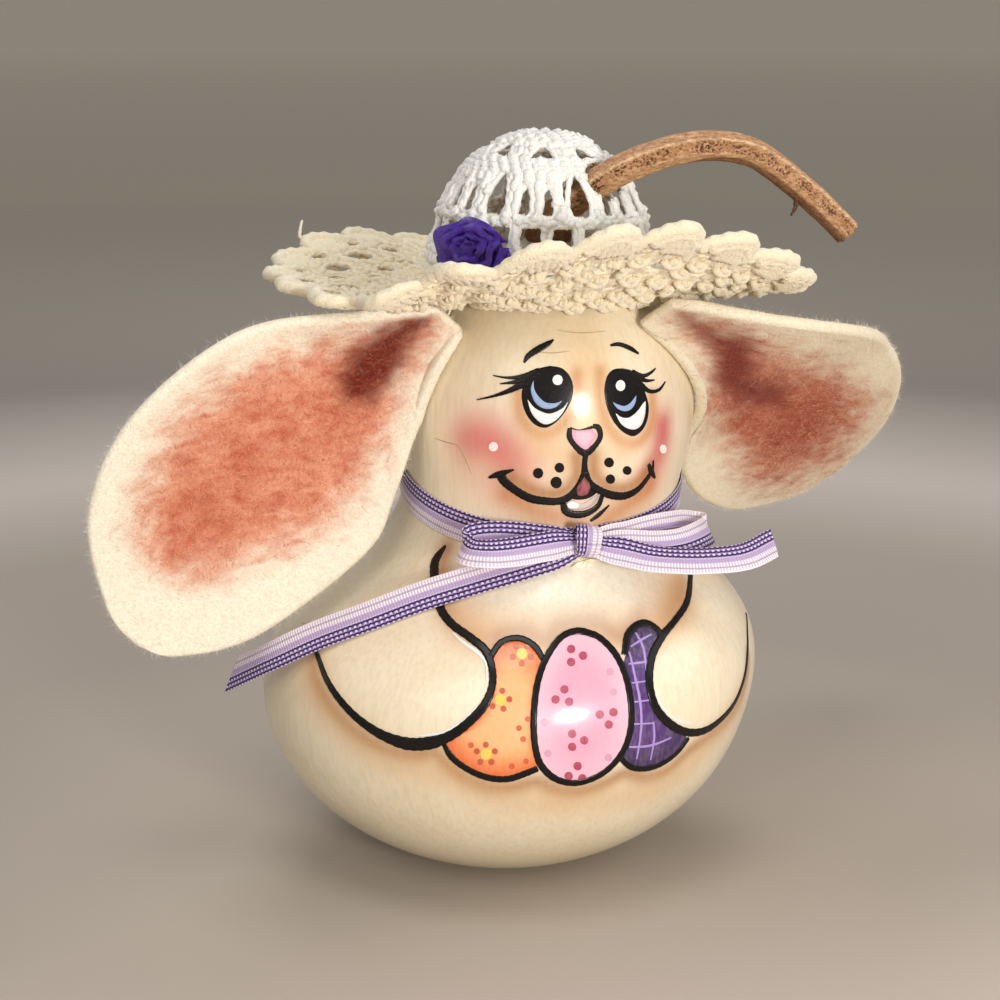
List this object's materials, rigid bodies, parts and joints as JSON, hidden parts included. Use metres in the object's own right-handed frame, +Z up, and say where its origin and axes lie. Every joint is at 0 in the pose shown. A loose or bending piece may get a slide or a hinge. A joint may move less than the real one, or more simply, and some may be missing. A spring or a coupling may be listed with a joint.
{
  "type": "painted gourd rabbit ornament",
  "caption": "Bottle gourd painted as a rabbit holding eggs, with felt ears, a ribbon bow and a crocheted sun hat that the gourd's curved stem grows through",
  "frame": {"origin": "on the floor, in the middle of the flat that the gourd stands on", "axes": "+Z up along the gourd, the painted face looks along -Y, and +X points to the ear on the right of the face as seen from the front"},
  "size_m": [0.2321, 0.1335, 0.1811],
  "materials": {
    "painted_gourd": "cream paint with shaded edges under clear varnish",
    "dried_stem": "dry ribbed bark with dark pits",
    "gourd_seed": "dull dry husk",
    "crochet_cotton": "tea-dyed cotton thread",
    "satin_ribbon": "dark purple satin",
    "wool_felt": "thick fuzzy felt rubbed with terracotta chalk",
    "striped_ribbon": "woven grosgrain with lengthwise stripes",
    "clear_glue": "cloudy hot glue"
  },
  "bodies": {
    "gourd": {"gourd_shell": "painted_gourd", "stem": "dried_stem", "crocheted_hat": "crochet_cotton", "ribbon_rose": "satin_ribbon", "neck_ribbon": "striped_ribbon", "bow_loop_left": "striped_ribbon", "bow_loop_right": "striped_ribbon", "bow_tail_left": "striped_ribbon", "bow_tail_right": "striped_ribbon", "bow_knot": "striped_ribbon", "seed_1": "gourd_seed", "seed_2": "gourd_seed", "seed_3": "gourd_seed", "seed_4": "gourd_seed", "seed_5": "gourd_seed", "seed_6": "gourd_seed", "seed_7": "gourd_seed", "seed_8": "gourd_seed", "bow_glue": "clear_glue", "rose_glue": "clear_glue", "ear_glue_left": "clear_glue", "ear_glue_right": "clear_glue", "hat_glue_1": "clear_glue", "hat_glue_2": "clear_glue", "hat_glue_3": "clear_glue", "hat_glue_4": "clear_glue"},
    "ear_left": {"ear_left": "wool_felt"},
    "ear_right": {"ear_right": "wool_felt"}
  },
  "joints": [
    {"name": "ear_left_flex", "type": "hinge", "parent": "gourd", "child": "ear_left", "pos_m": [-0.0205, -0.0095, 0.1355], "axis": [0.2599, 0.04, 0.9648], "range_deg": [-20, 16], "stiffness_Nm_per_rad": 0.05},
    {"name": "ear_right_flex", "type": "hinge", "parent": "gourd", "child": "ear_right", "pos_m": [0.045, -0.0125, 0.1325], "axis": [0.065, 0.4132, -0.9083], "range_deg": [-20, 16], "stiffness_Nm_per_rad": 0.05}
  ]
}
